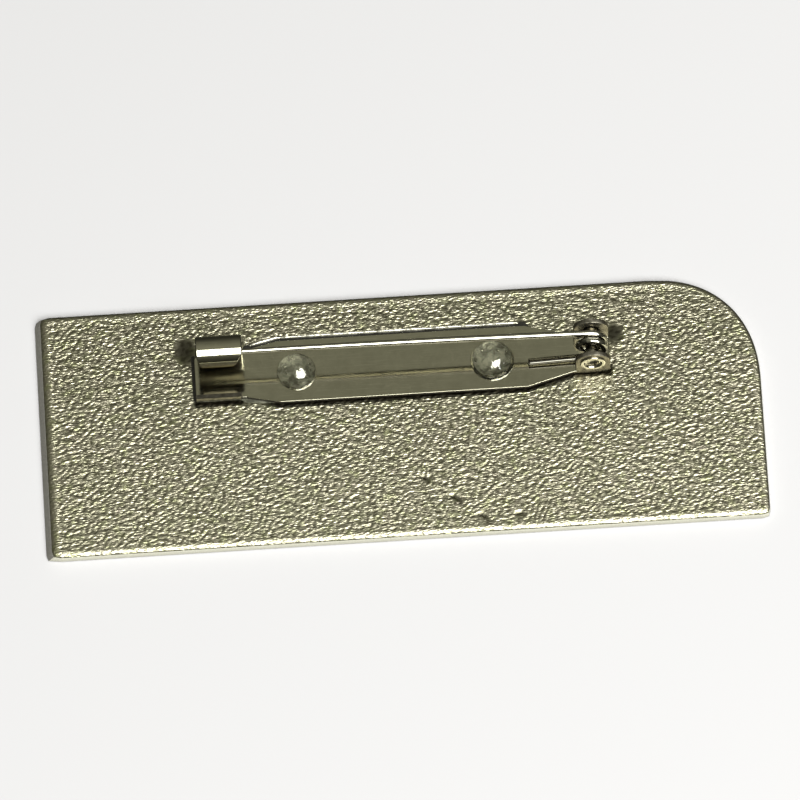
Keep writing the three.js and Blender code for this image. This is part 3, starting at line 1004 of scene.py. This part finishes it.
class Recipe:
    """A node material in plain steps, measured in millimetres of the object's own space."""

    def __init__(self, name):
        self.material = bpy.data.materials.new(name)
        self.material.use_nodes = True
        self.tree = self.material.node_tree
        self.coordinates = self.node("TexCoord").outputs
        self.place = self.coordinates["Object"]
        self.place = self.mapped((1000, 1000, 1000))

    def node(self, kind, **inputs):
        return filled(self.tree, kind, inputs)

    def mapped(self, scale, turn=0.0):
        return self.node(
            "Mapping", Vector=self.place, Scale=scale, Rotation=(0, 0, turn),
        ).outputs["Vector"]

    def split(self, source):
        return self.node("SeparateXYZ", Vector=source).outputs

    def attribute(self, name):
        node = self.node("Attribute")
        node.attribute_name = name
        return node.outputs["Fac"]

    def noise(self, scale, detail=3.0, roughness=0.5, distortion=0.0, place=None):
        return self.node(
            "TexNoise", Vector=place or self.place, Scale=scale, Detail=detail,
            Roughness=roughness, Distortion=distortion,
        ).outputs["Fac"]

    def cells(self, scale):
        return self.node("TexVoronoi", Vector=self.place, Scale=scale).outputs["Distance"]

    def ramp(self, source, stops):
        """Stops are (place, grey or colour)."""
        node = self.node("ValToRGB", Fac=source)
        set_stops(node, stops)
        return node.outputs["Color"]

    def mix(self, share, first, second, kind="MIX"):
        node = self.node("Mix")
        node.data_type = "RGBA"
        node.blend_type = kind
        # a mix node has inputs of one name for each kind of value, and these are the colours'
        fill(self.tree, node, {0: share, 6: first, 7: second})
        return node.outputs[2]

    def between(self, source, low, high, start=0.3, end=0.7):
        """One colour where the source is under the start, another where it is past the end."""
        return self.mix(self.ramp(source, [(start, 0.0), (end, 1.0)]), low, high)

    def maths(self, operation, *values):
        node = self.node("Math")
        node.operation = operation
        fill(self.tree, node, dict(enumerate(values)))
        return node.outputs[0]

    def bump(self, height, distance, strength=1.0, before=None):
        """Distance is in millimetres."""
        extra = {"Normal": before} if before else {}
        return self.node(
            "Bump", Height=height, Distance=distance * MM, Strength=strength, **extra,
        ).outputs["Normal"]

    def put(self, **inputs):
        """Fills the shader's inputs and gives the material."""
        fill(self.tree, self.tree.nodes["Principled BSDF"], inputs)
        return self.material

    def scratches(self, scale, turn, stretch=40.0):
        """Fine bright lines along one direction."""
        place = self.mapped((1.0 / stretch, 1.0, 1.0), turn)
        lines = self.noise(scale, roughness=0.7, place=place)
        return self.ramp(lines, [(0.57, 0.0), (0.64, 1.0)])


def back_metal():
    """Champagne plated metal with patches of warmer and greener tone."""
    recipe = Recipe("back_metal")
    patches = recipe.noise(0.34, roughness=0.6)
    warm = recipe.between(patches, (0.52, 0.506, 0.386), (0.58, 0.552, 0.437), 0.38, 0.62)
    green = recipe.noise(0.9, detail=4.0, roughness=0.65)
    tone = recipe.mix(recipe.ramp(green, [(0.5, 0.0), (0.68, 0.75)]), warm, (0.515, 0.543, 0.304))
    pink = recipe.noise(1.3, roughness=0.6, distortion=0.6)
    tone = recipe.mix(recipe.ramp(pink, [(0.58, 0.0), (0.72, 0.6)]), tone, (0.607, 0.534, 0.478))
    haze = recipe.noise(2.2, detail=5.0, roughness=0.7)
    creases = recipe.noise(4.2, detail=1.0, roughness=0.5, distortion=0.3,
                           place=recipe.mapped((0.5, 1.25, 1.0), -0.72))
    fine = recipe.noise(9.0, roughness=0.6)
    shade_and_pits = recipe.attribute("shade_and_pits")
    clear_of_shade = recipe.ramp(shade_and_pits, [(0.1, 1.0), (0.6, 0.0)])
    first = recipe.bump(recipe.maths("MULTIPLY", creases, clear_of_shade), 0.13, 0.7)
    low = recipe.ramp(recipe.attribute("crease_shade"), [(0.35, 0.0), (0.95, 0.75)])
    # painted shade in the grain's creases
    tone = recipe.mix(low, tone, (0.16, 0.15, 0.105))
    gloss = recipe.ramp(haze, [(0.3, 0.3), (0.75, 0.38)])
    rougher_nearby = -0.0028
    return recipe.put(
        # painted shade: near black along the pin and in the shadow patches, and darker in the dents'
        # pits
        Base_Color=recipe.between(shade_and_pits, tone, (0.03, 0.026, 0.018), 0.1, 0.85),
        Metallic=1.0,
        Roughness=recipe.maths("MULTIPLY_ADD", recipe.split(recipe.place)["Y"], rougher_nearby,
                               gloss),
        Normal=recipe.bump(fine, 0.008, 0.5, first),
    )


def front_metal():
    """Plain satin metal with straight fine lines along the badge."""
    recipe = Recipe("front_metal")
    place = recipe.mapped((0.03, 1.0, 1.0))
    lines = recipe.noise(14.0, detail=4.0, roughness=0.7, place=place)
    return recipe.put(
        Base_Color=(0.56, 0.54, 0.44),
        Metallic=1.0,
        Roughness=recipe.ramp(lines, [(0.3, 0.24), (0.7, 0.38)]),
        Normal=recipe.bump(lines, 0.01, 0.35),
    )


def streaked_metal(name, streaks, stretch, dark, light, gloss, relief, **rest):
    """Cut metal, with streaks across the thickness of the sheet."""
    recipe = Recipe(name)
    place = recipe.mapped((1.0, 1.0, stretch))
    lines = recipe.noise(streaks, detail=4.0, roughness=0.7, place=place)
    return recipe.put(
        Base_Color=recipe.between(lines, dark, light),
        Roughness=recipe.ramp(lines, [(0.3, gloss[0]), (0.7, gloss[1])]),
        Normal=recipe.bump(lines, *relief),
        **rest,
    )


def inner_metal(name, lightness, roughness):
    """Browner, duller metal. Its darker copy is painted shade on the catch's hollow side and the
    lip's end; its lighter copy covers the lugs' sides.
    """
    recipe = Recipe(name)
    cloud = recipe.noise(2.5, detail=4.0, roughness=0.7)
    thin = tuple(lightness * c for c in (0.2, 0.186, 0.15))
    full = tuple(lightness * c for c in (0.36, 0.338, 0.28))
    return recipe.put(
        Base_Color=recipe.between(cloud, thin, full),
        Metallic=1.0,
        Specular_Tint=(0.3, 0.29, 0.27),
        Roughness=recipe.ramp(cloud, [(0.3, roughness), (0.7, 1.5 * roughness)]),
    )


def plated(name, low, high, rough_low, rough_high, scratch_depth):
    """Nickel plate with haze, pale smudges, hairline scratches and specks."""
    recipe = Recipe(name)
    haze = recipe.noise(0.7, detail=4.0, roughness=0.6)
    tone = recipe.between(haze, low, high, 0.35, 0.68)
    along = recipe.scratches(9.0, 0.05)
    across = recipe.scratches(7.0, 1.1, 30.0)
    specks = recipe.ramp(recipe.cells(2.4), [(0.03, 1.0), (0.06, 0.0)])
    marks = recipe.mix(1.0, along, across, "LIGHTEN")
    marks = recipe.mix(1.0, marks, specks, "LIGHTEN")
    pale = tuple(1.3 * c for c in high)
    smudges = recipe.noise(0.55, detail=7.0, roughness=0.78, distortion=0.7)
    tone = recipe.mix(recipe.ramp(smudges, [(0.56, 0.0), (0.7, 0.45)]), tone, pale)
    tone = recipe.mix(recipe.ramp(marks, [(0.4, 0.0), (1.0, 0.3)]), tone, pale)
    grain = recipe.noise(16.0)
    rough = recipe.ramp(recipe.noise(1.6, detail=5.0, roughness=0.7),
                        [(0.3, rough_low), (0.72, rough_high)])
    rough = recipe.mix(1.0, rough, recipe.mix(1.0, marks, (0.07, 0.07, 0.07), "MULTIPLY"), "ADD")
    first = recipe.bump(grain, 0.004, 0.35)
    return recipe.put(
        Base_Color=tone,
        Metallic=1.0,
        Roughness=rough,
        Normal=recipe.bump(marks, scratch_depth, 0.35, first),
    )


def pin_metal():
    return plated("pin_metal", (0.57, 0.555, 0.44), (0.65, 0.635, 0.51), 0.06, 0.11, 0.0012)


def wire_metal(name, lightness):
    """Bright drawn wire, with painted shade on its underside."""
    recipe = Recipe(name)
    drawn = recipe.noise(12.0, roughness=0.6, place=recipe.mapped((0.05, 1.0, 1.0)))
    bright = recipe.between(drawn, tuple(lightness * c for c in (0.70, 0.685, 0.6)),
                            tuple(lightness * c for c in (0.80, 0.785, 0.7)))
    facing = recipe.split(recipe.coordinates["Normal"])
    # painted shade: darker where the wire faces down
    under = recipe.ramp(recipe.maths("MULTIPLY_ADD", facing["Z"], 0.5, 0.5),
                        [(0.2, 0.72), (0.36, 1.0), (0.55, 1.0), (0.76, 0.0)])
    spots = recipe.ramp(recipe.noise(3.0, detail=4.0, roughness=0.7), [(0.62, 0.0), (0.7, 0.5)])
    shade_and_spots = recipe.mix(1.0, under, spots, "LIGHTEN")
    return recipe.put(
        # painted shade on the underside, with random dark spots
        Base_Color=recipe.mix(shade_and_spots, bright, (0.035, 0.03, 0.024)),
        Metallic=1.0,
        Roughness=recipe.ramp(shade_and_spots, [(0.0, 0.08), (1.0, 0.3)]),
        Normal=recipe.bump(drawn, 0.0015, 0.4),
    )


def rivet_metal():
    return plated("rivet_metal", (0.40, 0.38, 0.31), (0.54, 0.51, 0.43), 0.12, 0.2, 0.003)


def thin_adhesive():
    """The thin film: grained metal seen through it, and painted black shade in the groove along the
    pin.
    """
    recipe = Recipe("thin_adhesive")
    cloud = recipe.noise(1.1)
    axes = recipe.split(recipe.place)
    half_groove = 0.1 * MM
    far_side = recipe.maths("GREATER_THAN", axes["Y"], (BAR_Y + FOOT_FAR + half_groove) / MM)
    left_side = recipe.maths("LESS_THAN", axes["X"], (FOOT_LEFT + half_groove) / MM)
    groove = recipe.maths("MAXIMUM", far_side, left_side)
    grain = recipe.noise(1.9, roughness=0.6, distortion=0.6)
    metal = recipe.between(grain, (0.11, 0.11, 0.083), (0.37, 0.37, 0.29), 0.4, 0.62)
    return recipe.put(
        # painted shade: near black beyond the pin's far side and the foot's left end
        Base_Color=recipe.mix(groove, metal, (0.012, 0.011, 0.008)),
        Metallic=recipe.maths("SUBTRACT", 0.6, recipe.maths("MULTIPLY", groove, 0.6)),
        Roughness=recipe.ramp(cloud, [(0.3, 0.34), (0.7, 0.5)]),
        Normal=recipe.bump(grain, 0.09, 0.6),
    )


def bead_painted_highlight():
    """The squeezed-out bead: glossy and lumpy, painted whitish and metal-like as a painted highlight
    for the light it catches.
    """
    recipe = Recipe("bead_painted_highlight")
    lumps = recipe.noise(2.6)
    return recipe.put(
        # painted highlight: a whitish, metal-like colour on clear adhesive
        Base_Color=recipe.between(lumps, (0.62, 0.61, 0.5), (0.9, 0.89, 0.78), 0.35, 0.6),
        Metallic=0.7,
        Roughness=recipe.ramp(lumps, [(0.3, 0.2), (0.7, 0.34)]),
        Coat_Weight=1.0,
        Coat_Roughness=0.04,
        Normal=recipe.bump(lumps, 0.06, 0.6),
    )


def clear_adhesive():
    """Clear set adhesive with a faint warm tint."""
    recipe = Recipe("clear_adhesive")
    ripple = recipe.noise(1.3, detail=1.0, distortion=0.4)
    ripples = recipe.bump(ripple, 0.13, 0.8)
    return recipe.put(
        Base_Color=(0.93, 0.925, 0.82),
        Roughness=0.03,
        IOR=1.47,
        Transmission_Weight=1.0,
        Normal=ripples,
        Coat_Weight=1.0,
        Coat_IOR=1.9,
        Coat_Roughness=0.09,
        Coat_Normal=ripples,
    )


# The room

def make_floor():
    """A plain pale matt floor."""
    half = 3.0
    floor = new_object("floor", [
        (-half, -half, 0), (half, -half, 0), (half, half, 0), (-half, half, 0),
    ], [(0, 1, 2, 3)])
    floor.location.z = -0.00002
    floor.data.materials.append(Recipe("floor").put(
        Base_Color=(0.61, 0.61, 0.655), Roughness=0.9, Specular_IOR_Level=0.1,
    ))
    # the metal mirrors the dim room instead of the pale floor
    floor.visible_glossy = False


def make_window():
    """A soft panel that faces the badge. The spreads are its half angles as the badge sees it."""
    back = Vector((0.32, -0.43, 0.84)).normalized()
    distance = 0.9
    spread_x = math.radians(24.5)
    spread_y = math.radians(22)
    radiance = 6.5
    size_x = 2 * distance * math.tan(spread_x)
    size_y = 2 * distance * math.tan(spread_y)
    light = bpy.data.lights.new("window", "AREA")
    light.shape = "RECTANGLE"
    light.size = size_x
    light.size_y = size_y
    light.energy = radiance * 4 * size_x * size_y
    light.color = (1.0, 0.995, 0.93)
    side = (Vector((1, 0, 0)) - back * back.x).normalized()
    stand("window", light, side, back.cross(side), back, back * distance)


def make_world():
    """Pale to the eye, dim and even as a reflection."""
    world = bpy.data.worlds.new("studio")
    world.use_nodes = True
    tree = world.node_tree
    tree.nodes.clear()
    way = filled(tree, "TexCoord", {}).outputs["Generated"]
    rise = filled(tree, "SeparateXYZ", {"Vector": way}).outputs["Z"]
    height = filled(tree, "ValToRGB", {"Fac": rise})
    set_stops(height, [
        (z, (grey, 0.985 * grey, 0.76 * grey))
        for z, grey in ((0.0, 0.035), (0.35, 0.075), (0.8, 0.18), (1.0, 0.26))
    ])
    lit = filled(tree, "Background", {"Color": height.outputs["Color"]}).outputs[0]
    seen = filled(tree, "Background", {"Color": (0.9, 0.9, 0.895)}).outputs[0]
    direct = filled(tree, "LightPath", {}).outputs["Is Camera Ray"]
    mixed = filled(tree, "MixShader", {0: direct, 1: lit, 2: seen}).outputs[0]
    filled(tree, "OutputWorld", {"Surface": mixed})
    bpy.context.scene.world = world


def make_camera():
    """A long lens at the photograph's angle, rolled so the badge's right end sits higher."""
    towards = Vector((0.0, -math.cos(VIEW_ELEVATION), math.sin(VIEW_ELEVATION)))
    level_right = Vector((1.0, 0.0, 0.0))
    level_up = towards.cross(level_right)
    right = level_right * math.cos(VIEW_ROLL) + level_up * -math.sin(VIEW_ROLL)
    up = level_right * math.sin(VIEW_ROLL) + level_up * math.cos(VIEW_ROLL)
    middle = Vector((0.0, 0.0, (PLATE_LOW.z + PLATE_HIGH.z) / 2))
    pixel = MM / PIXELS_PER_MM
    target = middle - right * (BADGE_RIGHT_OF_CENTRE * pixel) + up * (BADGE_BELOW_CENTRE * pixel)
    camera = bpy.data.cameras.new("camera")
    seen_width = PHOTO_SIDE * pixel
    camera.sensor_width = 36.0
    camera.lens = camera.sensor_width * VIEW_DISTANCE / seen_width
    camera.clip_start = 0.01
    camera.clip_end = 20.0
    place = target + towards * VIEW_DISTANCE
    bpy.context.scene.camera = stand("camera", camera, right, up, towards, place)


# The scene

make_camera()
make_world()
make_floor()
make_window()
bpy.context.scene.view_settings.view_transform = "Standard"

PIECES = [
    (make_plate(), ["badge_plate"], "base", "back_metal"),
    (make_pin_sheet(), ["pin_bar"], "base", "pin_metal"),
    (make_rivet(), ["hinge_rivet"], "base", "rivet_metal"),
    (make_film(), ["adhesive_film"], "base", "clear_adhesive"),
    (make_dome("dome_left", LEFT_DOME, 3, LEFT_BUBBLES),
     ["adhesive_dome_left"], "base", "clear_adhesive"),
    (make_dome("dome_right", RIGHT_DOME, 5, RIGHT_BUBBLES),
     ["adhesive_dome_right"], "base", "clear_adhesive"),
    (make_wire(), ["pin_stem"], "stem", "wire_metal"),
]
for piece, nodes, body, slot_name in PIECES:
    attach(piece, body)
    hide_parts(*nodes)

bpy.context.view_layer.update()
